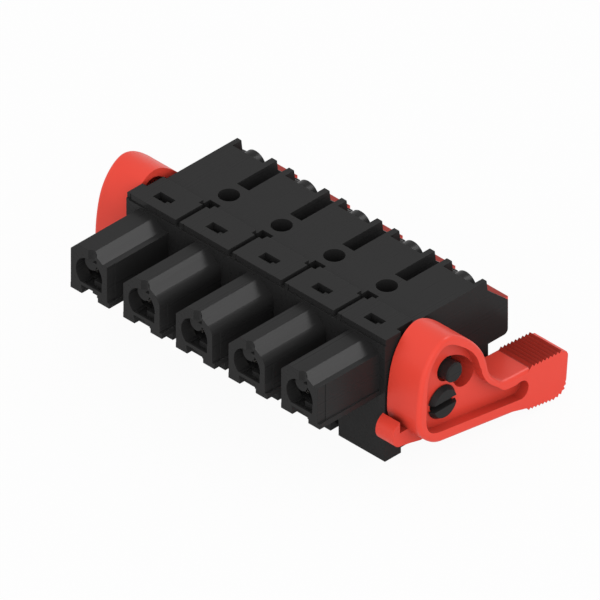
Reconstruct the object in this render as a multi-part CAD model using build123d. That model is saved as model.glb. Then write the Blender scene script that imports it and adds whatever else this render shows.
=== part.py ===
from build123d import *
import os

os.makedirs("parts", exist_ok=True)

# Five-pole plug connector with a push-in wire clamp and a release lever on each side.
# X runs along the row of poles, Y from the mating side to the wire side, Z up.
# The origin is the middle of the footprint, on the surface that the part stands on.

# Row of poles
PITCH = 7.62
POLES = 5

# Datums: the mating end, the front wall's outer face and the top of the rear body
MATING_Y = -15.33
SNOUT_LENGTH = 8.88
TOP_Z = 14.67
WALL_Y = MATING_Y + SNOUT_LENGTH

# Front shell
WALL_THICKNESS = 1.3
CHEEK_DEPTH = 2.33
CHEEK_THICKNESS = 0.67
SKIRT_RISE = 0.45
SKIRT_THICKNESS = 1.25
SKIRT_END = 4.68
LIP_SETBACK = 0.13
LIP_HEIGHT = 0.6
GROOVE_HEIGHT = 0.15
GROOVE_DEPTH = 0.2
GROOVE_INSET = 0.75
KEY_SLIT_WIDTH = 0.6
KEY_SLIT_DROP = 0.85
KEY_SLIT_END = 3.98
KEY_HOLE_WIDTH = 1.6
KEY_HOLE_END = 5.63
KEY_HOLE_DEPTH = 3.0
WINDOW_WIDTH = 2.2
WINDOW_START = 1.43
WINDOW_LENGTH = 1.15
FOOT_SLIT_WIDTH = 1.15
FOOT_SLIT_HEIGHT = 1.9

# Snouts
SNOUT_WIDTH = 5.3
SNOUT_DROP = 0.67
LEFT_CHAMFER = 1.6
CODED_CHAMFER = 0.95
CODED_POLES = (0, POLES - 1)
RIGHT_CHAMFER = 2.12
RIGHT_CHAMFER_DROP = 1.43
LEFT_RADIUS = 0.25
RIGHT_RADIUS = 1.6
CODED_SHELF_WIDTH = 0.68
CODED_SHELF_DROP = 0.88
SNOUT_HEIGHT = 5.97
FOOT_GAP = 2.3
FOOT_HEIGHT = 1.15
FLANGE_WIDTH = 0.15
FLANGE_HEIGHT = 0.63
FLANGE_SETBACK = 0.12
RIB_START = 0.41
RIB_WIDTH = 0.58
RIB_HEIGHT = 0.35
CROWN_NOTCH_CENTRE = 0.5
CROWN_NOTCH_RADIUS = 0.69
CROWN_NOTCH_OFFSET = 0.34
CROWN_NOTCH_DROP = 1.2
SIDE_STEP_LENGTH = 1.15
SIDE_STEP_DEPTH = 0.06

# Sockets in the snouts
SOCKET_DROP = 3.7
SOCKET_RADIUS = 1.9
SOCKET_FLOOR = 1.4
SOCKET_DEPTH = 1.6
SOCKET_RIGHT = 1.83
SILL_WIDTH = 0.25
SILL_POCKET_START = 0.85
SILL_POCKET_WIDTH = 2.1
SILL_POCKET_DEPTH = 0.2
GUARD_CENTRE = -0.2
GUARD_WIDTH = 1.7
GUARD_REACH = 0.3
GUARD_SETBACK = 0.45
LEDGE_START = 0.2
LEDGE_WIDTH = 1.2
LEDGE_HEIGHT = 0.55
LEDGE_SETBACK = 0.6
CAVITY_WIDTH = 3.5
CAVITY_TOP = 1.6

# Rear body
END_WALL = 0.6
BODY_END = 15.63
BODY_GAP = 0.05
TOP_EDGE = 14.08
EAR_TOP_END = 15.4
EAR_STEP = 1.25
EAR_STEP_RUN = 0.15
EAR_END = 18.74
EAR_SLOPE_DROP = 4.07
EAR_BOTTOM_DROP = 8.25
EAR_CORNER = 0.8
EAR_BEVEL = 0.45
EAR_BEVEL_OVERCUT = 0.1
EAR_EDGE_CHAMFER = 0.25
EDGE_TOLERANCE = 0.01
SLOT_WIDTH = 1.75
SLOT_START = 9.58
SLOT_DEPTH = 7.6
TOP_HOLE_RADIUS = 1.15
TOP_HOLE_BACK = 7.58
TOP_HOLE_DEPTH = 5.0
LATCH_GAP = 0.08
LATCH_SINK = 0.95
LATCH_RAMP = 0.2
LATCH_TIP = 0.5
LATCH_TIP_SINK = 0.15

# Test ports over the pushers
PORT_DROP = 1.7
PORT_TUBE_RADIUS = 1.53
PORT_TUBE_END = 15.28
PORT_BORE_RADIUS = 1.0

# Pushers and their pockets
PUSHER_WIDTH = 3.8
PUSHER_TOP_DROP = 4.34
PUSHER_HEIGHT = 3.15
PUSHER_END = 19.53
PUSHER_START = 12.2
PUSHER_NECK_WIDTH = 2.6
PUSHER_NECK_HEIGHT = 1.9
PUSHER_GAP = 0.1
PUSHER_EDGE = 0.2
PUSHER_DIMPLE_RADIUS = 0.95
PUSHER_DIMPLE_DEPTH = 0.5
POCKET_WIDTH = 4.42

# Wire entries and the clamp chamber behind them
ENTRY_DROP = 11.35
ENTRY_RADIUS = 2.2
FUNNEL_RADIUS = 2.75
FUNNEL_DEPTH = 0.7
CHAMBER_WIDTH = 4.1
CHAMBER_END = 12.9
CHAMBER_FLOOR = 0.75

# Contacts, their over-springs, the current bars and the clamp springs
METAL_GAP = 0.05
TAB_GAP = 0.1
BAR_FACE = 4.98
BAR_THICKNESS = 0.8
BAR_WIDTH = 3.8
BAR_TAB_WIDTH = 2.4
BAR_TAB_DROP = 1.65
BAR_FOOT_END = 11.9
TAIL_THICKNESS = 0.8
CONTACT_BACK = 0.15
CONTACT_WIDTH = 2.6
CONTACT_HEIGHT = 2.2
CONTACT_SHEET = 0.45
CONTACT_BRIDGE = 0.8
ARM_BEND = 2.5
ARM_PINCH = 6.0
ARM_PINCH_HALF_GAP = 0.4
ARM_TIP = 6.9
ARM_TIP_HALF_GAP = 0.75
CLIP_SHEET = 0.2
CLIP_GAP = 0.06
CLIP_LENGTH = 1.5
CLIP_FINGER_HEIGHT = 1.3
CLIP_FINGER_END = 5.4
SPRING_SHEET = 0.4
SPRING_WIDTH = 3.4
SPRING_CROWN_DROP = 5.2
SPRING_BACK = 11.5
SPRING_TIP_BACK = 8.6
SPRING_HEEL_DROP = 11.0
SPRING_BEND = 1.4

# Levers: outline points are (towards the wire side, up) from the pivot axis
PIVOT_BACK = 4.48
PIVOT_DROP = 7.5
LEVER_GAP = 0.23
LEVER_THICKNESS = 4.6
RECESS_DEPTH = 1.2
INNER_RECESS_DEPTH = 1.5
HOOK_THICKNESS = 2.5
LEVER_EDGE = 0.45
PIVOT_PIN_RADIUS = 1.58
PIVOT_CLEARANCE = 0.07
PIVOT_PIN_LENGTH = 5.0
PIVOT_SLIT = 0.8
PIVOT_SLIT_LENGTH = 3.6
BARB_RADIUS = 1.95
BARB_TIP_RADIUS = 1.6
BARB_GAP = 0.12
BOSS_RADIUS = 2.1
BOSS_CLEARANCE = 0.2
STOP_PIN_RADIUS = 1.15
STOP_PIN_LENGTH = 5.45
STOP_PIN_EDGE = 0.15
STOP_RADIUS = 3.76
STOP_ANGLE = 76.0
STOP_CLEARANCE = 0.3
LEVER_SWING = 45.0
STOP_MARGIN = 3.0
TOOTH_PITCH = 0.53
TOOTH_HEIGHT = 0.3
HEAD_CURVE = [(-4.4, 0.0), (-4.1, 3.5), (-3.0, 6.6), (-0.3, 8.54), (2.5, 7.2), (4.4, 5.2), (5.6, 2.75),
              (6.26, 0.65), (7.4, -0.6), (9.0, -1.0)]
TOP_GRIP = [(11.8, -1.1), (16.5, -1.4)]
GRIP_END = [(17.0, -1.58), (17.28, -2.1), (17.42, -3.0), (17.25, -4.9)]
BOTTOM_GRIP = [(16.85, -5.3), (16.35, -6.2), (15.4, -6.5), (11.35, -5.9)]
GRIP_HEEL = (11.0, -5.8)
CHIN_CURVE = [(-1.0, -4.02), (-2.9, -3.1), (-4.4, 0.0)]
RECESS_CURVE = [(-3.3, -0.25), (-3.2, 2.65), (-2.2, 6.45), (-0.5, 7.65), (1.5, 6.75), (4.0, 4.05),
                (4.95, 1.3), (5.97, -0.24), (7.3, -1.38), (9.9, -2.2)]
RECESS_END = [(11.5, -3.3), (10.5, -4.35)]
RECESS_CHIN = [(-1.0, -2.65), (-2.6, -2.1), (-3.3, -0.25)]
HOOK_CATCH = [(0.0, -0.5), (-3.6, -0.5), (-3.6, -1.96), (-5.0, -1.96), (-5.0, -0.65)]
HOOK_NOSE = [(-5.2, -0.75), (-6.05, -1.9), (-5.95, -2.9), (-5.2, -3.6)]
HOOK_BASE = [(-3.57, -3.9), (-2.0, -4.3), (0.6, -3.9)]

# Places worked out from the sizes above
POLE_X = [(number - (POLES - 1) / 2) * PITCH for number in range(POLES)]
BOUNDARY_X = [(left + right) / 2 for left, right in zip(POLE_X, POLE_X[1:])]
BODY_HALF = POLE_X[-1] + POCKET_WIDTH / 2 + END_WALL
SHELL_HALF = BODY_HALF + CHEEK_THICKNESS
SKIRT_Z = TOP_Z + SKIRT_RISE
SKIRT_BOTTOM_Z = SKIRT_Z - SKIRT_THICKNESS
BODY_FRONT = WALL_THICKNESS + BODY_GAP
SOCKET_Z = TOP_Z - SOCKET_DROP
FLOOR_Z = SOCKET_Z - SOCKET_FLOOR
PIVOT_Y = WALL_Y + PIVOT_BACK
PIVOT_Z = TOP_Z - PIVOT_DROP
LEVER_X = SHELL_HALF + LEVER_GAP
WEB_X = LEVER_X + LEVER_THICKNESS - RECESS_DEPTH


def block(x0, x1, y0, y1, z0, z1):
    """Box between two values on each axis."""
    size = Box(x1 - x0, y1 - y0, z1 - z0)
    return Pos((x0 + x1) / 2, (y0 + y1) / 2, (z0 + z1) / 2) * size


def back_block(x, width, back0, back1, z0, z1):
    """Box centred on x, between two distances behind the front wall's face."""
    return block(x - width / 2, x + width / 2, WALL_Y + back0, WALL_Y + back1, z0, z1)


def rod_y(x, z, back0, back1, radius, end_radius=None):
    """Round bar or cone along Y, between two distances behind the front wall's face."""
    start = Plane(origin=(x, WALL_Y + back0, z), x_dir=(1, 0, 0), z_dir=(0, 1, 0))
    if end_radius is None:
        return extrude(start * Circle(radius), back1 - back0)
    end = Plane(origin=(x, WALL_Y + back1, z), x_dir=(1, 0, 0), z_dir=(0, 1, 0))
    return loft([start * Circle(radius), end * Circle(end_radius)])


def rod_x(x0, x1, y, z, radius, end_radius=None):
    """Round bar or cone along X."""
    start = Plane(origin=(x0, y, z), x_dir=(0, 1, 0), z_dir=(1, 0, 0))
    if end_radius is None:
        return extrude(start * Circle(radius), x1 - x0)
    end = Plane(origin=(x1, y, z), x_dir=(0, 1, 0), z_dir=(1, 0, 0))
    return loft([start * Circle(radius), end * Circle(end_radius)])


def side_plate(outline, x0, x1):
    """Plate with a closed outline of (y, z) points, between two values of X."""
    return extrude(Plane(origin=(x0, 0, 0), x_dir=(0, 1, 0), z_dir=(1, 0, 0)) * outline, x1 - x0)


def snout(x, coded):
    """Mating nose of one pole: a roofed bar on two flanged feet. A coded one has a shelf at its right."""
    half = SNOUT_WIDTH / 2
    flange = half + FLANGE_WIDTH
    gap = FOOT_GAP / 2
    top = TOP_Z - SNOUT_DROP
    left_chamfer = CODED_CHAMFER if coded else LEFT_CHAMFER
    left_shoulder = top - left_chamfer
    right_shoulder = top - RIGHT_CHAMFER_DROP
    shelf = top - CODED_SHELF_DROP
    right_side = [(half - CODED_SHELF_WIDTH, shelf), (half, shelf)] if coded else [(half, right_shoulder)]
    bottom = top - SNOUT_HEIGHT
    flange_top = bottom + FLANGE_HEIGHT
    arch = bottom + FOOT_HEIGHT
    corners = [(-flange, bottom), (-flange, flange_top), (-half, flange_top), (-half, left_shoulder),
               (left_chamfer - half, top), (half - RIGHT_CHAMFER, top), *right_side,
               (half, flange_top), (flange, flange_top), (flange, bottom), (gap, bottom),
               (gap, arch), (-gap, arch), (-gap, bottom)]
    section = make_face(Polyline(*corners, close=True))
    section = fillet(section.vertices().sort_by_distance((-half, left_shoulder))[:1], LEFT_RADIUS)
    if not coded:
        section = fillet(section.vertices().sort_by_distance((half, right_shoulder))[:1], RIGHT_RADIUS)
    plane = Plane(origin=(x, WALL_Y, 0), x_dir=(1, 0, 0), z_dir=(0, -1, 0))
    nose = extrude(plane * section, SNOUT_LENGTH)
    nose += block(x + RIB_START, x + RIB_START + RIB_WIDTH, MATING_Y + FLANGE_SETBACK, WALL_Y,
                  arch - RIB_HEIGHT, arch)
    nose -= block(x - flange, x + flange, MATING_Y, MATING_Y + FLANGE_SETBACK, bottom, flange_top)
    notch = Pos(x + CROWN_NOTCH_CENTRE, MATING_Y - CROWN_NOTCH_OFFSET, top - CROWN_NOTCH_DROP / 2)
    nose -= notch * Cylinder(CROWN_NOTCH_RADIUS, CROWN_NOTCH_DROP)
    nose -= block(x + half - SIDE_STEP_DEPTH, x + half, MATING_Y, MATING_Y + SIDE_STEP_LENGTH,
                  flange_top, top)
    return nose


def socket_hollow(x):
    """Space inside one snout: the round mouth with its flat floor, and the contact's cavity."""
    mouth_end = SOCKET_DEPTH - SNOUT_LENGTH
    mouth = rod_y(x, SOCKET_Z, -SNOUT_LENGTH, mouth_end, SOCKET_RADIUS)
    mouth += block(x, x + SOCKET_RIGHT, MATING_Y, MATING_Y + SOCKET_DEPTH, FLOOR_Z, SOCKET_Z)
    above_floor = back_block(x, SNOUT_WIDTH, -SNOUT_LENGTH, mouth_end, FLOOR_Z, TOP_Z)
    guard_centre = SOCKET_Z + GUARD_REACH + GUARD_WIDTH / 2
    guard_x = x + GUARD_CENTRE
    guard = rod_y(guard_x, guard_centre, GUARD_SETBACK - SNOUT_LENGTH, mouth_end, GUARD_WIDTH / 2)
    guard += back_block(guard_x, GUARD_WIDTH, GUARD_SETBACK - SNOUT_LENGTH, mouth_end, guard_centre, TOP_Z)
    ledge = block(x + LEDGE_START, x + LEDGE_START + LEDGE_WIDTH, MATING_Y + LEDGE_SETBACK,
                  MATING_Y + SOCKET_DEPTH, FLOOR_Z, FLOOR_Z + LEDGE_HEIGHT)
    cavity = back_block(x, CAVITY_WIDTH, mouth_end, WALL_THICKNESS, FLOOR_Z, SOCKET_Z + CAVITY_TOP)
    pocket_start = x - SILL_POCKET_START
    pocket_z = FLOOR_Z - SILL_POCKET_DEPTH
    pocket = block(pocket_start, pocket_start + SILL_POCKET_WIDTH, MATING_Y + SILL_WIDTH,
                   MATING_Y + LEDGE_SETBACK, pocket_z, FLOOR_Z)
    pocket += block(pocket_start, x + LEDGE_START, MATING_Y + SILL_WIDTH, MATING_Y + SOCKET_DEPTH,
                    pocket_z, FLOOR_Z)
    return (mouth & above_floor) - guard - ledge + cavity + pocket


def front_shell():
    """Mating housing: front wall with end cheeks, raised top skirt, and a snout for each pole."""
    shell = back_block(0, 2 * SHELL_HALF, 0, WALL_THICKNESS, 0, SKIRT_Z)
    for side in (-1, 1):
        middle = side * (SHELL_HALF - CHEEK_THICKNESS / 2)
        shell += back_block(middle, CHEEK_THICKNESS, 0, CHEEK_DEPTH, 0, SKIRT_Z)
    shell += back_block(0, 2 * BODY_HALF, 0, SKIRT_END, SKIRT_BOTTOM_Z, SKIRT_Z)
    shell -= back_block(0, 2 * SHELL_HALF, 0, LIP_SETBACK, SKIRT_Z - LIP_HEIGHT, SKIRT_Z)
    for number, x in enumerate(POLE_X):
        shell += snout(x, number in CODED_POLES)
    for x in POLE_X:
        shell -= socket_hollow(x)
        shell -= back_block(x, WINDOW_WIDTH, WINDOW_START, WINDOW_START + WINDOW_LENGTH,
                            SKIRT_BOTTOM_Z, SKIRT_Z)
        groove_z = SKIRT_Z - LIP_HEIGHT
        start = x - PITCH / 2 + GROOVE_INSET
        end = x + PITCH / 2
        shell -= block(start, end, WALL_Y, WALL_Y + GROOVE_DEPTH, groove_z - GROOVE_HEIGHT, groove_z)
        shell -= block(start, start + GROOVE_HEIGHT, WALL_Y, WALL_Y + GROOVE_DEPTH, groove_z, SKIRT_Z)
    for x in BOUNDARY_X:
        shell -= back_block(x, KEY_SLIT_WIDTH, 0, KEY_SLIT_END, SKIRT_Z - KEY_SLIT_DROP, SKIRT_Z)
        shell -= back_block(x, KEY_SLIT_WIDTH, BODY_FRONT, KEY_SLIT_END, SKIRT_BOTTOM_Z, SKIRT_Z)
        shell -= back_block(x, KEY_HOLE_WIDTH, KEY_SLIT_END, SKIRT_END, SKIRT_BOTTOM_Z, SKIRT_Z)
        shell -= back_block(x, FOOT_SLIT_WIDTH, 0, WALL_THICKNESS, 0, FOOT_SLIT_HEIGHT)
    return shell


def body_outline():
    """Side view of the rear body with its ears, as a closed face of (y, z) points."""
    front = WALL_Y + BODY_FRONT
    step = WALL_Y + SKIRT_END + BODY_GAP
    rear = WALL_Y + BODY_END
    ear = WALL_Y + EAR_END
    ear_top = WALL_Y + EAR_TOP_END
    low_top = SKIRT_BOTTOM_Z - BODY_GAP
    ear_bottom = TOP_Z - EAR_BOTTOM_DROP
    corners = [(front, 0), (front, low_top), (step, low_top), (step, TOP_Z), (ear_top, TOP_Z),
               (ear_top + EAR_STEP_RUN, TOP_Z - EAR_STEP), (ear, TOP_Z - EAR_SLOPE_DROP),
               (ear, ear_bottom), (rear, ear_bottom), (rear, 0)]
    face = make_face(Polyline(*corners, close=True))
    return fillet(face.vertices().sort_by_distance((ear, ear_bottom))[:1], EAR_CORNER)


def latch_nose(x):
    """Ramped nose on the rear body's low front, caught in one window of the skirt."""
    start = WALL_Y + WINDOW_START + LATCH_GAP
    end = WALL_Y + WINDOW_START + WINDOW_LENGTH - LATCH_GAP
    low = SKIRT_BOTTOM_Z - BODY_GAP
    high = SKIRT_Z - LATCH_SINK
    half = WINDOW_WIDTH / 2 - LATCH_GAP
    outline = make_face(Polyline((start, low), (start, high - LATCH_RAMP), (start + LATCH_RAMP, high),
                                 (end, high), (end, low), close=True))
    nose = side_plate(outline, x - half, x + half)
    return nose + block(x + half - LATCH_TIP, x + half, start, start + LATCH_TIP, low,
                        SKIRT_Z - LATCH_TIP_SINK)


def clamp_hollow(x):
    """Space for one pole's metal parts, open to the front so that they can be loaded."""
    bar_back = BAR_FACE + BAR_THICKNESS + METAL_GAP
    pusher_bottom = TOP_Z - PUSHER_TOP_DROP - PUSHER_HEIGHT - PUSHER_GAP
    hollow = back_block(x, CHAMBER_WIDTH, BODY_FRONT, CHAMBER_END, CHAMBER_FLOOR,
                        TOP_Z - PUSHER_TOP_DROP + PUSHER_GAP)
    hollow += back_block(x, BAR_TAB_WIDTH + 2 * TAB_GAP, BODY_FRONT, bar_back, CHAMBER_FLOOR,
                         TOP_Z - BAR_TAB_DROP + METAL_GAP)
    hollow += rod_y(x, TOP_Z - PORT_DROP, bar_back - METAL_GAP, PORT_TUBE_END, PORT_BORE_RADIUS)
    hollow += back_block(x, PUSHER_WIDTH + 2 * PUSHER_GAP, CHAMBER_END, EAR_END, pusher_bottom,
                         TOP_Z - PUSHER_TOP_DROP + PUSHER_GAP)
    hollow += rod_y(x, TOP_Z - ENTRY_DROP, CHAMBER_END, BODY_END, ENTRY_RADIUS)
    hollow += rod_y(x, TOP_Z - ENTRY_DROP, BODY_END - FUNNEL_DEPTH, BODY_END, ENTRY_RADIUS, FUNNEL_RADIUS)
    return hollow


def lever_pins(side):
    """Split snap pin with its boss, and the stop pin, on one side of the rear body."""
    root = BODY_HALF
    boss_end = LEVER_X - BOSS_CLEARANCE
    pin_end = root + PIVOT_PIN_LENGTH
    barb_start = WEB_X + BARB_GAP
    pins = rod_x(root, boss_end, PIVOT_Y, PIVOT_Z, BOSS_RADIUS)
    pins += rod_x(root, barb_start, PIVOT_Y, PIVOT_Z, PIVOT_PIN_RADIUS)
    pins += rod_x(barb_start, pin_end, PIVOT_Y, PIVOT_Z, BARB_RADIUS, BARB_TIP_RADIUS)
    pins -= block(pin_end - PIVOT_SLIT_LENGTH, pin_end, PIVOT_Y - BARB_RADIUS, PIVOT_Y + BARB_RADIUS,
                  PIVOT_Z - PIVOT_SLIT / 2, PIVOT_Z + PIVOT_SLIT / 2)
    stop = Vector(STOP_RADIUS, 0, 0).rotate(Axis.Z, STOP_ANGLE)
    stop_end = root + STOP_PIN_LENGTH
    stop_pin = rod_x(root, stop_end, PIVOT_Y + stop.X, PIVOT_Z + stop.Y, STOP_PIN_RADIUS)
    pins += chamfer(stop_pin.edges().sort_by(Axis.X)[-1:], STOP_PIN_EDGE)
    if side < 0:
        pins = mirror(pins, Plane.YZ)
    return pins


def ear_bevel(x, side):
    """Wedge that takes the inner edge off one sloping side of a pusher's pocket."""
    start = Vector(x + side * POCKET_WIDTH / 2, WALL_Y + EAR_TOP_END + EAR_STEP_RUN, TOP_Z - EAR_STEP)
    slope = Vector(start.X, WALL_Y + EAR_END, TOP_Z - EAR_SLOPE_DROP) - start
    over = EAR_BEVEL_OVERCUT
    reach = EAR_BEVEL + over
    section = make_face(Polyline((-over, side * reach), (reach, -side * over), (-over, -side * over),
                                 close=True))
    return extrude(Plane(origin=start, x_dir=(side, 0, 0), z_dir=slope) * section, slope.length + reach)


def rear_body():
    """Terminal body: clamp chambers, wire entries, pusher pockets, test ports and lever pins."""
    body = side_plate(body_outline(), -BODY_HALF, BODY_HALF)
    cheek_room = CHEEK_DEPTH + BODY_GAP
    for side in (-1, 1):
        body -= back_block(side * BODY_HALF, 2 * BODY_GAP, 0, cheek_room, 0, TOP_Z)
    rear_edges = body.edges().filter_by(GeomType.LINE).filter_by(Axis.Z)
    ear_y = WALL_Y + EAR_END
    ear_edges = rear_edges.filter_by_position(Axis.Y, ear_y - EDGE_TOLERANCE, ear_y + EDGE_TOLERANCE)
    body = chamfer(ear_edges, EAR_EDGE_CHAMFER)
    for x in POLE_X:
        pusher_bottom = TOP_Z - PUSHER_TOP_DROP - PUSHER_HEIGHT - PUSHER_GAP
        body -= back_block(x, POCKET_WIDTH, TOP_EDGE, EAR_END, pusher_bottom, TOP_Z)
        for side in (-1, 1):
            body -= ear_bevel(x, side)
        body += rod_y(x, TOP_Z - PORT_DROP, TOP_EDGE, PORT_TUBE_END, PORT_TUBE_RADIUS)
        body += latch_nose(x)
    for x in POLE_X:
        body -= clamp_hollow(x)
    for x in BOUNDARY_X:
        body -= back_block(x, SLOT_WIDTH, SLOT_START, BODY_END, TOP_Z - SLOT_DEPTH, TOP_Z)
        body -= back_block(x, SLOT_WIDTH, BODY_END, EAR_END, TOP_Z - EAR_BOTTOM_DROP, TOP_Z)
        body -= back_block(x, KEY_HOLE_WIDTH, KEY_SLIT_END, KEY_HOLE_END, TOP_Z - KEY_HOLE_DEPTH, TOP_Z)
        body -= back_block(x, KEY_SLIT_WIDTH, BODY_FRONT, KEY_SLIT_END, TOP_Z - KEY_HOLE_DEPTH, TOP_Z)
        hole = Pos(x, WALL_Y + TOP_HOLE_BACK, TOP_Z - TOP_HOLE_DEPTH / 2)
        body -= hole * Cylinder(TOP_HOLE_RADIUS, TOP_HOLE_DEPTH)
    for side in (-1, 1):
        body += lever_pins(side)
    return body


def sheet_arm(x, side, points, thickness, z0, z1):
    """Sheet strip on edge, along (half gap, distance in front of the wall) points of its inner face."""
    inner = [(x + side * half, WALL_Y - front) for half, front in points]
    outer = [(px + side * thickness, py) for px, py in reversed(inner)]
    return extrude(Pos(0, 0, z0) * make_face(Polyline(*inner, *outer, close=True)), z1 - z0)


def contact(x):
    """Female contact: two sheet arms on a bridge, and a tail that reaches the current bar."""
    half = CONTACT_WIDTH / 2 - CONTACT_SHEET
    low = SOCKET_Z - CONTACT_HEIGHT / 2
    high = SOCKET_Z + CONTACT_HEIGHT / 2
    body = back_block(x, CONTACT_WIDTH, CONTACT_BACK - CONTACT_BRIDGE, CONTACT_BACK, low, high)
    body += back_block(x, BAR_TAB_WIDTH, CONTACT_BACK, BAR_FACE, SOCKET_Z - TAIL_THICKNESS / 2,
                       SOCKET_Z + TAIL_THICKNESS / 2)
    path = [(half, -CONTACT_BACK), (half, ARM_BEND), (ARM_PINCH_HALF_GAP, ARM_PINCH),
            (ARM_TIP_HALF_GAP, ARM_TIP)]
    for side in (-1, 1):
        body += sheet_arm(x, side, path, CONTACT_SHEET, low, high)
    return body


def contact_spring(x):
    """Steel over-spring: a collar round the contact's root, with a finger on each arm."""
    inner_half = CONTACT_WIDTH / 2 + CLIP_GAP
    inner_height = CONTACT_HEIGHT + 2 * CLIP_GAP
    start = -ARM_BEND
    end = start + CLIP_LENGTH
    middle = SOCKET_Z
    collar = back_block(x, 2 * (inner_half + CLIP_SHEET), start, end,
                        middle - inner_height / 2 - CLIP_SHEET, middle + inner_height / 2 + CLIP_SHEET)
    collar -= back_block(x, 2 * inner_half, start, end, middle - inner_height / 2, middle + inner_height / 2)
    slope = (CONTACT_WIDTH / 2 - CONTACT_SHEET - ARM_PINCH_HALF_GAP) / (ARM_PINCH - ARM_BEND)
    end_half = inner_half - slope * (CLIP_FINGER_END - ARM_BEND)
    path = [(inner_half, -start - CLIP_SHEET), (inner_half, ARM_BEND), (end_half, CLIP_FINGER_END)]
    for side in (-1, 1):
        collar += sheet_arm(x, side, path, CLIP_SHEET, middle - CLIP_FINGER_HEIGHT / 2,
                            middle + CLIP_FINGER_HEIGHT / 2)
    return collar


def current_bar(x):
    """Bent bar: a tab behind the contact's tail, an upright, and a foot under the wire."""
    floor = CHAMBER_FLOOR + METAL_GAP
    shoulder = TOP_Z - PUSHER_TOP_DROP - METAL_GAP
    bar = back_block(x, BAR_WIDTH, BAR_FACE, BAR_FACE + BAR_THICKNESS, floor, shoulder)
    bar += back_block(x, BAR_TAB_WIDTH, BAR_FACE, BAR_FACE + BAR_THICKNESS, floor, TOP_Z - BAR_TAB_DROP)
    bar += back_block(x, BAR_WIDTH, BAR_FACE, BAR_FOOT_END, floor, floor + BAR_THICKNESS)
    outer = bar.edges().filter_by(Axis.X).sort_by_distance((x, WALL_Y + BAR_FACE, floor))[:1]
    return fillet(outer, BAR_THICKNESS)


def clamp_spring(x):
    """Leaf spring: it stands on the bar's upright, turns over at the top and clamps the wire."""
    heel = WALL_Y + BAR_FACE + BAR_THICKNESS + SPRING_SHEET / 2
    crown = TOP_Z - SPRING_CROWN_DROP
    foot = CHAMBER_FLOOR + METAL_GAP + BAR_THICKNESS + SPRING_SHEET
    points = [(x, heel, TOP_Z - SPRING_HEEL_DROP), (x, heel, crown), (x, WALL_Y + SPRING_BACK, crown),
              (x, WALL_Y + SPRING_TIP_BACK, foot)]
    path = FilletPolyline(*points, radius=SPRING_BEND)
    section = Plane(origin=points[0]) * Rectangle(SPRING_WIDTH, SPRING_SHEET)
    return sweep(section, path)


def pusher(x):
    """Push button of one pole: a head in the pocket and a neck that ends just behind the spring."""
    top = TOP_Z - PUSHER_TOP_DROP
    bottom = top - PUSHER_HEIGHT
    head = back_block(x, PUSHER_WIDTH, CHAMBER_END, PUSHER_END, bottom, top)
    head = fillet(head.faces().sort_by(Axis.Y)[-1].edges(), PUSHER_EDGE)
    middle = (top + bottom) / 2
    head += back_block(x, PUSHER_NECK_WIDTH, PUSHER_START, CHAMBER_END, middle - PUSHER_NECK_HEIGHT / 2,
                       middle + PUSHER_NECK_HEIGHT / 2)
    head -= rod_y(x, middle, PUSHER_END - PUSHER_DIMPLE_DEPTH, PUSHER_END, PUSHER_DIMPLE_RADIUS)
    return head


def from_pivot(points):
    """Turns points given from the pivot axis into (y, z) places."""
    return [(PIVOT_Y + along, PIVOT_Z + up) for along, up in points]


def heading(start, end):
    """Direction from one (y, z) point to another."""
    return (end[0] - start[0], end[1] - start[1])


def teeth(path):
    """Saw teeth along a run of points, standing out to the left of the way it runs."""
    points = []
    for start, end in zip(path, path[1:]):
        line = Vector(*heading(start, end), 0)
        count = max(1, round(line.length / TOOTH_PITCH))
        step = line / count
        out = line.normalized().rotate(Axis.Z, 90) * TOOTH_HEIGHT
        for number in range(count):
            root = Vector(*start, 0) + step * number
            tip = root + step / 2 + out
            points += [(root.X, root.Y), (tip.X, tip.Y)]
    return points + [path[-1]]


def lever_outline():
    """Side view of a lever: round head, waist, toothed grip and straight underside."""
    head = from_pivot(HEAD_CURVE)
    heel = from_pivot([GRIP_HEEL])[0]
    chin = from_pivot(CHIN_CURVE)
    grip_top = teeth(from_pivot(TOP_GRIP))
    grip_bottom = teeth(from_pivot(BOTTOM_GRIP))
    back = Spline(*head, tangents=[(0, 1), heading(head[-1], grip_top[0])])
    grip = Polyline(head[-1], *grip_top, *from_pivot(GRIP_END), *grip_bottom, heel, chin[0])
    front = Spline(*chin, tangents=[heading(heel, chin[0]), (0, 1)])
    return make_face([*back.edges(), *grip.edges(), *front.edges()])


def recess_outline():
    """Hollow on the lever's outer side: it follows the rim round the head and runs into the waist."""
    head = from_pivot(RECESS_CURVE)
    end = from_pivot(RECESS_END)
    chin = from_pivot(RECESS_CHIN)
    back = Spline(*head, tangents=[(0, 1), (1, 0)])
    tip = ThreePointArc(head[-1], end[0], end[1])
    bottom = Line(end[1], chin[0])
    front = Spline(*chin, tangents=[heading(end[1], chin[0]), (0, 1)])
    return make_face([*back.edges(), *tip.edges(), *bottom.edges(), *front.edges()])


def stop_slot():
    """Curved slot round the pivot in which the stop pin moves, as a face of (y, z) points."""
    half_width = STOP_PIN_RADIUS + STOP_CLEARANCE
    low = STOP_ANGLE - LEVER_SWING - STOP_MARGIN
    path = CenterArc((PIVOT_Y, PIVOT_Z), STOP_RADIUS, low, STOP_ANGLE - low)
    return SlotArc(path, 2 * half_width)


def hook():
    """Hook at the lever's front end: upright catch face, rounded nose and a base into the chin."""
    catch = from_pivot(HOOK_CATCH)
    nose = from_pivot(HOOK_NOSE)
    base = from_pivot(HOOK_BASE)
    inside = Polyline(*base, *catch, nose[0])
    rounding = Spline(*nose)
    outside = Line(nose[-1], base[0])
    face = make_face([*inside.edges(), *rounding.edges(), *outside.edges()])
    return side_plate(face, LEVER_X, LEVER_X + HOOK_THICKNESS)


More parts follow.
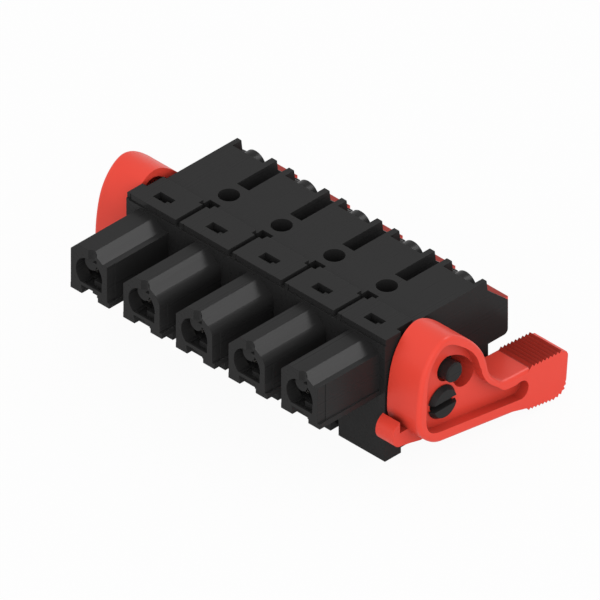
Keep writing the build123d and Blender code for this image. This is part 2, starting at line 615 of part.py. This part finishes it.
def lever(side):
    """Release lever with its hook, on the side where X has the given sign."""
    outer = LEVER_X + LEVER_THICKNESS
    body = side_plate(lever_outline(), LEVER_X, outer)
    rim = body.faces().sort_by(Axis.X)[-1].edges().filter_by(lambda edge: edge.length > 2 * TOOTH_PITCH)
    body = fillet(rim, LEVER_EDGE)
    body += hook()
    body -= side_plate(recess_outline(), WEB_X, outer)
    body -= side_plate(recess_outline(), LEVER_X, LEVER_X + INNER_RECESS_DEPTH)
    body -= rod_x(LEVER_X, outer, PIVOT_Y, PIVOT_Z, PIVOT_PIN_RADIUS + PIVOT_CLEARANCE)
    body -= side_plate(stop_slot(), LEVER_X, outer)
    if side < 0:
        body = mirror(body, Plane.YZ)
    return body


export_step(front_shell(), "parts/front_shell.step")
export_step(rear_body(), "parts/rear_body.step")
for number, pole_x in enumerate(POLE_X, start=1):
    export_step(contact(pole_x), f"parts/contact_{number}.step")
    export_step(contact_spring(pole_x), f"parts/contact_spring_{number}.step")
    export_step(current_bar(pole_x), f"parts/current_bar_{number}.step")
    export_step(clamp_spring(pole_x), f"parts/clamp_spring_{number}.step")
    export_step(pusher(pole_x), f"parts/pusher_{number}.step")
export_step(lever(-1), "parts/lever_left.step")
export_step(lever(1), "parts/lever_right.step")
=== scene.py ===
import math

import bmesh
import bpy
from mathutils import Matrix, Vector


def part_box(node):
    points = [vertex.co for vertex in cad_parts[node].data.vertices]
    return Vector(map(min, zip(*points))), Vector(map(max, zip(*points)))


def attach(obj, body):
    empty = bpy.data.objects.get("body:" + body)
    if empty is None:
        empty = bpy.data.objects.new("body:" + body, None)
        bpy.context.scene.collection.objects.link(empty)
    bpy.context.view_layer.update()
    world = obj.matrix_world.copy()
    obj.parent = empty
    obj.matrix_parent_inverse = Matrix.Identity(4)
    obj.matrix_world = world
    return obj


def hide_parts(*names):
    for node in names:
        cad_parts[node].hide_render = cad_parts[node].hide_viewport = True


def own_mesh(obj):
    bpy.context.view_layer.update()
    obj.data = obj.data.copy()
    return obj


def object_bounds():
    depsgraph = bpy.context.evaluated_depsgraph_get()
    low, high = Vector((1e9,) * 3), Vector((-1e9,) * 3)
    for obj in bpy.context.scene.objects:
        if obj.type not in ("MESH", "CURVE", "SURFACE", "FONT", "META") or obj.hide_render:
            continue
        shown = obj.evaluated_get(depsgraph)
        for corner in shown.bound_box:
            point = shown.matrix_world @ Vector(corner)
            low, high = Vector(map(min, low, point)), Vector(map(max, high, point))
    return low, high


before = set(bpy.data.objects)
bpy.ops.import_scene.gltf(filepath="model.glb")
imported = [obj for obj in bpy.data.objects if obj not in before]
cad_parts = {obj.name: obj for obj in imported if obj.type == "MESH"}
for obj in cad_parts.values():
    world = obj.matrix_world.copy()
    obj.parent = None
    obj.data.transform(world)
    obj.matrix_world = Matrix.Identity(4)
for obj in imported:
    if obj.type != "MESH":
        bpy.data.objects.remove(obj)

# Five-pole plug connector: the finish of its plastics and metals, its clamp springs and its studio.
# Lengths are in metres and colours are linear light. X runs along the row, Y to the wire side.
MM = 0.001
POLES = 5

cad_low, cad_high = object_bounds()

# Plastics: shades, gloss, and the least and greatest roughness
HOUSING_BLACK = (0.0238, 0.0235, 0.0235, 1.0)
HOUSING_DEEP = (0.0218, 0.0216, 0.0218, 1.0)
HOUSING_SHINE = 0.07
HOUSING_ROUGHNESS = (0.27, 0.29)
LEVER_RED = (0.88, 0.072, 0.046, 1.0)
LEVER_DEEP = (0.84, 0.062, 0.039, 1.0)
LEVER_SHINE = 0.20
LEVER_ROUGHNESS = (0.345, 0.375)

# Painted shade in the recesses of the levers: its colour, and how far off a facing wall still darkens
# them
LEVER_PAINTED_SHADE = (0.32, 0.032, 0.020, 1.0)
CAVITY_REACH = 4.0 * MM
CAVITY_SAMPLES = 8

# Moulded surface: the skin's grain and slow drift, and the lines along which the part was drawn
GRAIN_SIZE = 0.16 * MM
GRAIN_DEPTH = 0.0008 * MM
DRIFT_SIZE = 6.0 * MM
DRAW_LINE_SIZE = 0.45 * MM
DRAW_LINE_STRETCH = 0.02

# Moulded edges: their radius, the roughness they add, and how alike the rounded and the true normal
# are beside an edge and on it
EDGE_RADIUS = 0.05 * MM
EDGE_DULLNESS = 0.08
EDGE_SAMPLES = 6
LIKENESS_BESIDE_EDGE = 0.995
LIKENESS_ON_EDGE = 0.85

# Painted shade on the teeth of the lever's grip, in the lever's own place: where the teeth start and end,
# how low they reach, how far a face may look sideways to count in full or not at all, and the shade
# painted on them
TEETH_START = 9.75 * MM
TEETH_END = 14.62 * MM
TEETH_LOW = 5.45 * MM
TEETH_EDGE = 0.12 * MM
TEETH_SIDEWAYS_FULL = 0.3
TEETH_SIDEWAYS_NONE = 0.6
# Painted shade: the lever's colour is multiplied by this on the teeth's tops, standing in for the shade
# among them
TEETH_PAINTED_SHADE = (0.45, 0.45, 0.45, 1.0)

# Metals: shades, roughness, rolling lines and the mottle of the plating
TIN_LIGHT = (0.72, 0.70, 0.66, 1.0)
TIN_DARK = (0.52, 0.50, 0.46, 1.0)
TIN_ROUGHNESS = (0.26, 0.42)
STEEL_LIGHT = (0.60, 0.60, 0.62, 1.0)
STEEL_DARK = (0.42, 0.42, 0.44, 1.0)
STEEL_ROUGHNESS = (0.22, 0.36)
BRUSH_SIZE = 0.05 * MM
BRUSH_DEPTH = 0.002 * MM
BRUSH_STRETCH = 0.04
TIN_STRETCH = (1.0, BRUSH_STRETCH, 1.0)
STEEL_STRETCH = (1.0, BRUSH_STRETCH, BRUSH_STRETCH)
MOTTLE_SIZE = 0.6 * MM

# Noise textures: the detail and roughness of each, and the range that most of a noise lies in
GRAIN_NOISE = {"Detail": 3.0, "Roughness": 0.6}
DRIFT_NOISE = {"Detail": 2.0, "Roughness": 0.5}
DRAW_LINE_NOISE = {"Detail": 1.0, "Roughness": 0.4}
BRUSH_NOISE = {"Detail": 4.0, "Roughness": 0.65}
MOTTLE_NOISE = {"Detail": 3.0, "Roughness": 0.55}
NOISE_LOW = 0.3
NOISE_HIGH = 0.7

# Clamp springs: a strip that stands on the bar, turns over at the top and comes down to the wire
SPRING_SHEET = 0.4 * MM
SPRING_BEND = 1.4 * MM
SPRING_HEEL_RISE = 1.87 * MM
SPRING_TURN_BACK = 5.52 * MM
SPRING_TIP_BACK = 2.62 * MM
SPRING_BEND_STEPS = 10
SPRING_RUN_STEPS = 6
SPRING_EDGE = 0.05 * MM
SPRING_EDGE_STEPS = 2
SPRING_RIM_ANGLE = math.radians(60)

# Camera: the picture's middle on the part, the angle round it, and the width that the picture spans
IMAGE_CENTRE = (6.95 * MM, -6.97 * MM, 14.67 * MM)
IMAGE_WIDTH = 61.43 * MM
CAMERA_AZIMUTH = math.radians(45.0)
CAMERA_ELEVATION = math.asin(0.574)
CAMERA_DISTANCE = 0.3
CAMERA_NEAR = 0.001
CAMERA_FAR = 20.0

# Floor and sky: the share of plain white when seen straight or in a shine, and the sky's light
WHITE = (1.0, 1.0, 1.0, 1.0)
FLOOR_PALE = (0.80, 0.80, 0.80, 1.0)
FLOOR_RADIUS = 4.0
FLOOR_SIDES = 96
FLOOR_SEEN = 0.95
FLOOR_MIRRORED = 0.44
SKY_LEVEL = 0.84

# Lamps: a brightness of 1 looks white in a mirror, and takes this many watts for a square metre
LAMP_WATTS = 4.0
LAMP_DISTANCE = 0.6
SHINE_LAMP_DIRECTION = (0.18, 0.579, 0.795)
SHINE_LAMP_WIDTH = 0.27
SHINE_LAMP_BRIGHTNESS = 7.8
FILL_LAMP_DIRECTION = (0.75, -0.62, 0.22)
FILL_LAMP_WIDTH = 0.70
FILL_LAMP_BRIGHTNESS = 0.78


# Node building

def add(tree, kind, **values):
    """Adds a shader node and sets its properties and, for names of sockets, its inputs."""
    node = tree.nodes.new(kind)
    for name, value in values.items():
        if name in node.inputs:
            node.inputs[name].default_value = value
        else:
            setattr(node, name, value)
    return node


def feed(tree, value, socket):
    """Links a value into a socket, or sets it there when it is a plain number or colour."""
    if isinstance(value, bpy.types.NodeSocket):
        tree.links.new(value, socket)
    else:
        socket.default_value = value


def reckon(tree, operation, *values):
    """Works out one number from others."""
    node = add(tree, "ShaderNodeMath", operation=operation)
    for value, socket in zip(values, node.inputs):
        feed(tree, value, socket)
    return node.outputs[0]


def group_tree(name, inputs, outputs):
    """Makes an empty node group with number, colour or vector sockets, and its two end nodes."""
    tree = bpy.data.node_groups.new(name, "ShaderNodeTree")
    for label, kind, value in inputs:
        socket = tree.interface.new_socket(label, in_out="INPUT", socket_type=kind)
        socket.default_value = value
    for label, kind in outputs:
        tree.interface.new_socket(label, in_out="OUTPUT", socket_type=kind)
    return tree, tree.nodes.new("NodeGroupInput"), tree.nodes.new("NodeGroupOutput")


def place_group(tree, group, **values):
    """Places a node group in a material, with this material's own values."""
    node = tree.nodes.new("ShaderNodeGroup")
    node.node_tree = group
    for label, value in values.items():
        node.inputs[label.replace("_", " ")].default_value = value
    return node


def noise(tree, place, size, settings):
    """Noise with features of a given size in metres."""
    texture = add(tree, "ShaderNodeTexNoise", **settings)
    tree.links.new(place, texture.inputs["Vector"])
    tree.links.new(reckon(tree, "DIVIDE", 1.0, size), texture.inputs["Scale"])
    return texture.outputs["Fac"]


def stretched(tree, place, stretch):
    """Place with its axes scaled, so that a noise on it is drawn out along some of them."""
    pulled = add(tree, "ShaderNodeVectorMath", operation="MULTIPLY")
    feed(tree, place, pulled.inputs[0])
    feed(tree, stretch, pulled.inputs[1])
    return pulled.outputs["Vector"]


def band(tree, value, low, high):
    """Mask that rises from 0 to 1 as a value goes from low to high."""
    rise = add(tree, "ShaderNodeMapRange", interpolation_type="SMOOTHSTEP")
    rise.inputs["From Min"].default_value = low
    rise.inputs["From Max"].default_value = high
    tree.links.new(value, rise.inputs["Value"])
    return rise.outputs["Result"]


def spread(tree, source, limits):
    """Maps a noise onto a range of values."""
    reach = add(tree, "ShaderNodeMapRange")
    reach.inputs["From Min"].default_value = NOISE_LOW
    reach.inputs["From Max"].default_value = NOISE_HIGH
    reach.inputs["To Min"].default_value = limits[0]
    reach.inputs["To Max"].default_value = limits[1]
    tree.links.new(source, reach.inputs["Value"])
    return reach.outputs["Result"]


def mix_colours(tree, mask, first, second, blend_type="MIX"):
    """Mixes two colours by a mask: 0 gives the first."""
    mix = add(tree, "ShaderNodeMix", data_type="RGBA", blend_type=blend_type)
    colours = [socket for socket in mix.inputs if socket.type == "RGBA"]
    tree.links.new(mask, mix.inputs["Factor"])
    feed(tree, first, colours[0])
    feed(tree, second, colours[1])
    return [socket for socket in mix.outputs if socket.type == "RGBA"][0]


# Shared effects

def moulded_skin():
    """Skin that a spark-eroded mould leaves on plastic: a fine height, and a slow drift over the part."""
    tree, start, end = group_tree(
        "moulded_skin",
        [("Grain Size", "NodeSocketFloat", GRAIN_SIZE), ("Drift Size", "NodeSocketFloat", DRIFT_SIZE)],
        [("Height", "NodeSocketFloat"), ("Drift", "NodeSocketFloat")])
    place = add(tree, "ShaderNodeTexCoord").outputs["Object"]
    grain = noise(tree, place, start.outputs["Grain Size"], GRAIN_NOISE)
    drift = noise(tree, place, start.outputs["Drift Size"], DRIFT_NOISE)
    tree.links.new(grain, end.inputs["Height"])
    tree.links.new(drift, end.inputs["Drift"])
    return tree


def moulded_edge():
    """Small radius on a moulded edge: the rounded normal, and a mask that is 1 on the edge."""
    tree, start, end = group_tree(
        "moulded_edge",
        [("Radius", "NodeSocketFloat", EDGE_RADIUS)],
        [("Normal", "NodeSocketVector"), ("Edge", "NodeSocketFloat")])
    rounded = add(tree, "ShaderNodeBevel", samples=EDGE_SAMPLES)
    surface = add(tree, "ShaderNodeNewGeometry")
    likeness = add(tree, "ShaderNodeVectorMath", operation="DOT_PRODUCT")
    mask = add(tree, "ShaderNodeMapRange")
    mask.inputs["From Min"].default_value = LIKENESS_BESIDE_EDGE
    mask.inputs["From Max"].default_value = LIKENESS_ON_EDGE
    tree.links.new(start.outputs["Radius"], rounded.inputs["Radius"])
    tree.links.new(rounded.outputs["Normal"], likeness.inputs[0])
    tree.links.new(surface.outputs["Normal"], likeness.inputs[1])
    tree.links.new(likeness.outputs["Value"], mask.inputs["Value"])
    tree.links.new(rounded.outputs["Normal"], end.inputs["Normal"])
    tree.links.new(mask.outputs["Result"], end.inputs["Edge"])
    return tree


def draw_lines():
    """Faint lines along Y, where the moulded part was drawn out of its tool."""
    tree, start, end = group_tree(
        "draw_lines",
        [("Line Size", "NodeSocketFloat", DRAW_LINE_SIZE)],
        [("Lines", "NodeSocketFloat")])
    place = add(tree, "ShaderNodeTexCoord").outputs["Object"]
    pulled = stretched(tree, place, (1.0, DRAW_LINE_STRETCH, 1.0))
    lines = noise(tree, pulled, start.outputs["Line Size"], DRAW_LINE_NOISE)
    tree.links.new(lines, end.inputs["Lines"])
    return tree


def grip_teeth():
    """Mask of the grip's toothed top, where shade is painted: by place, and by faces that don't look
    sideways.
    """
    tree, start, end = group_tree(
        "grip_teeth",
        [("Low", "NodeSocketFloat", TEETH_LOW)],
        [("Teeth", "NodeSocketFloat")])
    place = add(tree, "ShaderNodeTexCoord")
    spot = add(tree, "ShaderNodeSeparateXYZ")
    facing = add(tree, "ShaderNodeSeparateXYZ")
    tree.links.new(place.outputs["Object"], spot.inputs[0])
    tree.links.new(place.outputs["Normal"], facing.inputs[0])
    sideways = reckon(tree, "ABSOLUTE", facing.outputs["X"])
    above = reckon(tree, "GREATER_THAN", spot.outputs["Z"], start.outputs["Low"])
    after_start = band(tree, spot.outputs["Y"], TEETH_START - TEETH_EDGE, TEETH_START)
    before_end = band(tree, spot.outputs["Y"], TEETH_END + TEETH_EDGE, TEETH_END)
    upward = band(tree, sideways, TEETH_SIDEWAYS_NONE, TEETH_SIDEWAYS_FULL)
    along = reckon(tree, "MULTIPLY", after_start, before_end)
    on_top = reckon(tree, "MULTIPLY", above, upward)
    tree.links.new(reckon(tree, "MULTIPLY", along, on_top), end.inputs["Teeth"])
    return tree


def cavity():
    """Mask for painted shade: 1 on open surfaces, falling in recesses and hollows, out to a given reach.
    """
    tree, start, end = group_tree(
        "cavity",
        [("Reach", "NodeSocketFloat", CAVITY_REACH)],
        [("Open", "NodeSocketFloat")])
    openness = add(tree, "ShaderNodeAmbientOcclusion", samples=CAVITY_SAMPLES, only_local=True)
    tree.links.new(start.outputs["Reach"], openness.inputs["Distance"])
    tree.links.new(openness.outputs["AO"], end.inputs["Open"])
    return tree


def rolled_strip():
    """Rolling lines and plating mottle of a stamped strip. The stretch turns the lines to X, Y or Z."""
    tree, start, end = group_tree(
        "rolled_strip",
        [("Line Size", "NodeSocketFloat", BRUSH_SIZE), ("Stretch", "NodeSocketVector", (1.0, 1.0, 1.0)),
         ("Mottle Size", "NodeSocketFloat", MOTTLE_SIZE)],
        [("Lines", "NodeSocketFloat"), ("Mottle", "NodeSocketFloat")])
    place = add(tree, "ShaderNodeTexCoord").outputs["Object"]
    pulled = stretched(tree, place, start.outputs["Stretch"])
    lines = noise(tree, pulled, start.outputs["Line Size"], BRUSH_NOISE)
    mottle = noise(tree, place, start.outputs["Mottle Size"], MOTTLE_NOISE)
    tree.links.new(lines, end.inputs["Lines"])
    tree.links.new(mottle, end.inputs["Mottle"])
    return tree


SKIN = moulded_skin()
EDGE = moulded_edge()
DRAWN = draw_lines()
TEETH = grip_teeth()
CAVITY = cavity()
STRIP = rolled_strip()


# Materials

def new_finish(name):
    """Makes a material and hands back its tree and its Principled shader."""
    material = bpy.data.materials.new(name)
    material.use_nodes = True
    tree = material.node_tree
    return material, tree, tree.nodes["Principled BSDF"]


def plastic(name, light, dark, shine, roughness):
    """Moulded plastic: a slow drift of shade, a fine skin, draw lines and softened, duller edges."""
    material, tree, shader = new_finish(name)
    skin = place_group(tree, SKIN, Grain_Size=GRAIN_SIZE, Drift_Size=DRIFT_SIZE)
    edge = place_group(tree, EDGE, Radius=EDGE_RADIUS)
    drawn = place_group(tree, DRAWN, Line_Size=DRAW_LINE_SIZE)
    bump = add(tree, "ShaderNodeBump", Distance=GRAIN_DEPTH)
    plain = spread(tree, drawn.outputs["Lines"], roughness)
    dulled = reckon(tree, "MULTIPLY_ADD", edge.outputs["Edge"], EDGE_DULLNESS, plain)
    shade = mix_colours(tree, skin.outputs["Drift"], dark, light)
    tree.links.new(skin.outputs["Height"], bump.inputs["Height"])
    tree.links.new(edge.outputs["Normal"], bump.inputs["Normal"])
    tree.links.new(shade, shader.inputs["Base Color"])
    tree.links.new(dulled, shader.inputs["Roughness"])
    tree.links.new(bump.outputs["Normal"], shader.inputs["Normal"])
    shader.inputs["Specular IOR Level"].default_value = shine
    return material


def paint_shade_on_teeth(material):
    """Paints shade into the colour of a material on the grip's teeth."""
    tree = material.node_tree
    base = tree.nodes["Principled BSDF"].inputs["Base Color"]
    teeth = place_group(tree, TEETH, Low=TEETH_LOW)
    colour = base.links[0].from_socket
    tree.links.new(mix_colours(tree, teeth.outputs["Teeth"], colour, TEETH_PAINTED_SHADE, "MULTIPLY"), base)


def paint_shade_in_recesses(material, painted_shade_colour):
    """Paints shade into the colour of a material in its recesses."""
    tree = material.node_tree
    base = tree.nodes["Principled BSDF"].inputs["Base Color"]
    hollow = place_group(tree, CAVITY, Reach=CAVITY_REACH)
    colour = base.links[0].from_socket
    tree.links.new(mix_colours(tree, hollow.outputs["Open"], painted_shade_colour, colour), base)


def strip_metal(name, light, dark, stretch, roughness):
    """Stamped and plated strip: rolling lines in the height and the roughness, mottle in the colour."""
    material, tree, shader = new_finish(name)
    strip = place_group(tree, STRIP, Line_Size=BRUSH_SIZE, Stretch=stretch, Mottle_Size=MOTTLE_SIZE)
    bump = add(tree, "ShaderNodeBump", Distance=BRUSH_DEPTH)
    shade = mix_colours(tree, strip.outputs["Mottle"], dark, light)
    tree.links.new(strip.outputs["Lines"], bump.inputs["Height"])
    tree.links.new(shade, shader.inputs["Base Color"])
    tree.links.new(spread(tree, strip.outputs["Lines"], roughness), shader.inputs["Roughness"])
    tree.links.new(bump.outputs["Normal"], shader.inputs["Normal"])
    shader.inputs["Metallic"].default_value = 1.0
    return material


housing_black = plastic("housing_black", HOUSING_BLACK, HOUSING_DEEP, HOUSING_SHINE, HOUSING_ROUGHNESS)
lever_red = plastic("lever_red", LEVER_RED, LEVER_DEEP, LEVER_SHINE, LEVER_ROUGHNESS)
# Painted shade on the tops of the grip's teeth
paint_shade_on_teeth(lever_red)
# Painted shade: the lever's colour falls towards this in its recesses and hollows
paint_shade_in_recesses(lever_red, LEVER_PAINTED_SHADE)
tinned_strip = strip_metal("tinned_strip", TIN_LIGHT, TIN_DARK, TIN_STRETCH, TIN_ROUGHNESS)
spring_steel = strip_metal("spring_steel", STEEL_LIGHT, STEEL_DARK, STEEL_STRETCH, STEEL_ROUGHNESS)


# Finishes on the pieces of the frame

def finish_node(name, material):
    """Gives one CAD node its finish."""
    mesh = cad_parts[name].data
    mesh.materials.clear()
    mesh.materials.append(material)


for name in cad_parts:
    if name in ("front_shell", "rear_body"):
        finish_node(name, housing_black)
    elif name.startswith(("lever", "pusher")):
        finish_node(name, lever_red)
    elif name.startswith(("contact_spring", "clamp_spring")):
        finish_node(name, spring_steel)
    else:
        finish_node(name, tinned_strip)


# Pieces of the scene

def put(name, data):
    """Puts a mesh, a lamp or a camera in the scene."""
    thing = bpy.data.objects.new(name, data)
    bpy.context.scene.collection.objects.link(thing)
    return thing


def put_piece(name, mesh, material):
    """Turns a worked mesh into a piece of one material."""
    data = bpy.data.meshes.new(name)
    mesh.to_mesh(data)
    mesh.free()
    data.materials.append(material)
    return put(name, data)


# Clamp springs

def bend_points(before, corner, after):
    """Points along the arc that rounds one corner of the spring's side view."""
    to_before = (before - corner).normalized()
    to_after = (after - corner).normalized()
    half = to_before.angle(to_after) / 2
    centre = corner + (to_before + to_after).normalized() * (SPRING_BEND / math.sin(half))
    start = corner + to_before * (SPRING_BEND / math.tan(half))
    end = corner + to_after * (SPRING_BEND / math.tan(half))
    turn = math.pi - 2 * half
    points = []
    for step in range(SPRING_BEND_STEPS + 1):
        share = step / SPRING_BEND_STEPS
        along = (start - centre) * (math.sin((1 - share) * turn) / math.sin(turn))
        along += (end - centre) * (math.sin(share * turn) / math.sin(turn))
        points.append(centre + along)
    return points


def run_points(start, end):
    """Points along a straight run, without its ends."""
    return [start.lerp(end, step / SPRING_RUN_STEPS) for step in range(1, SPRING_RUN_STEPS)]


def spring_line(heel_y, low, high):
    """Middle of the spring's sheet in the side view, as (y, z) points from the heel to the tip."""
    crown_z = high.z - SPRING_SHEET / 2
    heel = Vector((heel_y, low.z + SPRING_HEEL_RISE))
    crown = Vector((heel_y, crown_z))
    turn = Vector((heel_y + SPRING_TURN_BACK, crown_z))
    tip = Vector((heel_y + SPRING_TIP_BACK, low.z + SPRING_SHEET / 2))
    first = bend_points(heel, crown, turn)
    second = bend_points(crown, turn, tip)
    return [heel, *run_points(heel, first[0]), *first, *run_points(first[-1], second[0]), *second,
            *run_points(second[-1], tip), tip]


def sheet_along(line, low_x, high_x):
    """Mesh of a strip of spring sheet along a line, with small radii on its rims."""
    mesh = bmesh.new()
    rings = []
    for index, point in enumerate(line):
        ahead = line[min(index + 1, len(line) - 1)] - line[max(index - 1, 0)]
        across = Vector((-ahead.y, ahead.x)).normalized() * (SPRING_SHEET / 2)
        inner = point + across
        outer = point - across
        corners = [(low_x, inner), (high_x, inner), (high_x, outer), (low_x, outer)]
        rings.append([mesh.verts.new((x, p.x, p.y)) for x, p in corners])
    for ring, following in zip(rings, rings[1:]):
        for side in range(4):
            other = (side + 1) % 4
            mesh.faces.new((ring[side], ring[other], following[other], following[side]))
    mesh.faces.new(reversed(rings[0]))
    mesh.faces.new(rings[-1])
    bmesh.ops.recalc_face_normals(mesh, faces=mesh.faces)
    rims = [edge for edge in mesh.edges
            if len(edge.link_faces) == 2 and edge.calc_face_angle() > SPRING_RIM_ANGLE]
    bmesh.ops.bevel(mesh, geom=rims, offset=SPRING_EDGE, segments=SPRING_EDGE_STEPS, affect="EDGES")
    for face in mesh.faces:
        face.smooth = True
    return mesh


def clamp_spring(number):
    """Leaf spring of one pole, built at rest and fixed to the housing; the real spring gives way when its
    pusher is pressed in.
    """
    node = f"clamp_spring_{number}"
    low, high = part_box(node)
    heel_y = low.y + SPRING_SHEET / 2
    sheet = sheet_along(spring_line(heel_y, low, high), low.x, high.x)
    leaf = put_piece(f"clamp_leaf_{number}", sheet, spring_steel)
    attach(leaf, "housing")
    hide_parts(node)
    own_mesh(leaf)


for number in range(1, POLES + 1):
    clamp_spring(number)


# Floor, sky, lamps and camera

def rays(tree, path, *kinds):
    """Mask that is 1 for the named kinds of ray."""
    mask = path.outputs[kinds[0]]
    for kind in kinds[1:]:
        mask = reckon(tree, "MAXIMUM", mask, path.outputs[kind])
    return mask


def put_out(tree, share, first, second, output):
    """Mixes two shaders by a mask, 0 for the first, and puts them out as a surface."""
    mix = add(tree, "ShaderNodeMixShader")
    out = add(tree, output)
    tree.links.new(share, mix.inputs["Fac"])
    tree.links.new(first.outputs[0], mix.inputs[1])
    tree.links.new(second.outputs[0], mix.inputs[2])
    tree.links.new(mix.outputs[0], out.inputs["Surface"])


def pale_floor():
    """Plain pale floor that the part stands on. Seen straight or in a shine, it is nearly white."""
    material = bpy.data.materials.new("pale_floor")
    material.use_nodes = True
    tree = material.node_tree
    tree.nodes.clear()
    path = add(tree, "ShaderNodeLightPath")
    seen = reckon(tree, "MULTIPLY", rays(tree, path, "Is Camera Ray"), FLOOR_SEEN)
    shiny = rays(tree, path, "Is Glossy Ray", "Is Transmission Ray")
    mirrored = reckon(tree, "MULTIPLY", shiny, FLOOR_MIRRORED)
    matt = add(tree, "ShaderNodeBsdfDiffuse", Color=FLOOR_PALE)
    lit = add(tree, "ShaderNodeEmission", Color=WHITE, Strength=1.0)
    put_out(tree, reckon(tree, "MAXIMUM", seen, mirrored), matt, lit, "ShaderNodeOutputMaterial")
    mesh = bmesh.new()
    bmesh.ops.create_circle(mesh, cap_ends=True, segments=FLOOR_SIDES, radius=FLOOR_RADIUS)
    put_piece("floor", mesh, material)


def even_sky():
    """Even pale surroundings: white to the eye and in a shine, and softer as a light."""
    world = bpy.data.worlds.new("studio")
    bpy.context.scene.world = world
    world.use_nodes = True
    tree = world.node_tree
    tree.nodes.clear()
    path = add(tree, "ShaderNodeLightPath")
    seen = rays(tree, path, "Is Camera Ray", "Is Glossy Ray", "Is Transmission Ray")
    soft = add(tree, "ShaderNodeBackground", Color=WHITE, Strength=SKY_LEVEL)
    white = add(tree, "ShaderNodeBackground", Color=WHITE, Strength=1.0)
    put_out(tree, seen, soft, white, "ShaderNodeOutputWorld")


def softbox(name, direction, width, brightness, lights_all):
    """Square area lamp that faces the part. One that doesn't light all shows only in the shine."""
    middle = (cad_low + cad_high) / 2
    towards = Vector(direction).normalized()
    lamp = bpy.data.lights.new(name, "AREA")
    lamp.shape = "SQUARE"
    lamp.size = width
    lamp.energy = LAMP_WATTS * brightness * width ** 2
    stand = put(name, lamp)
    stand.location = middle + towards * LAMP_DISTANCE
    stand.rotation_euler = towards.to_track_quat("Z", "Y").to_euler()
    stand.visible_camera = False
    stand.visible_diffuse = lights_all


def photo_camera():
    """Camera without perspective, at the photograph's angle and width."""
    back = Vector((math.sin(CAMERA_AZIMUTH) * math.cos(CAMERA_ELEVATION),
                   -math.cos(CAMERA_AZIMUTH) * math.cos(CAMERA_ELEVATION), math.sin(CAMERA_ELEVATION)))
    data = bpy.data.cameras.new("camera")
    data.type = "ORTHO"
    data.ortho_scale = IMAGE_WIDTH
    data.clip_start = CAMERA_NEAR
    data.clip_end = CAMERA_FAR
    camera = put("camera", data)
    camera.location = Vector(IMAGE_CENTRE) + back * CAMERA_DISTANCE
    camera.rotation_euler = (-back).to_track_quat("-Z", "Y").to_euler()
    bpy.context.scene.camera = camera


pale_floor()
even_sky()
softbox("shine_softbox", SHINE_LAMP_DIRECTION, SHINE_LAMP_WIDTH, SHINE_LAMP_BRIGHTNESS, lights_all=False)
softbox("fill_softbox", FILL_LAMP_DIRECTION, FILL_LAMP_WIDTH, FILL_LAMP_BRIGHTNESS, lights_all=True)
photo_camera()
bpy.context.scene.view_settings.view_transform = "Standard"
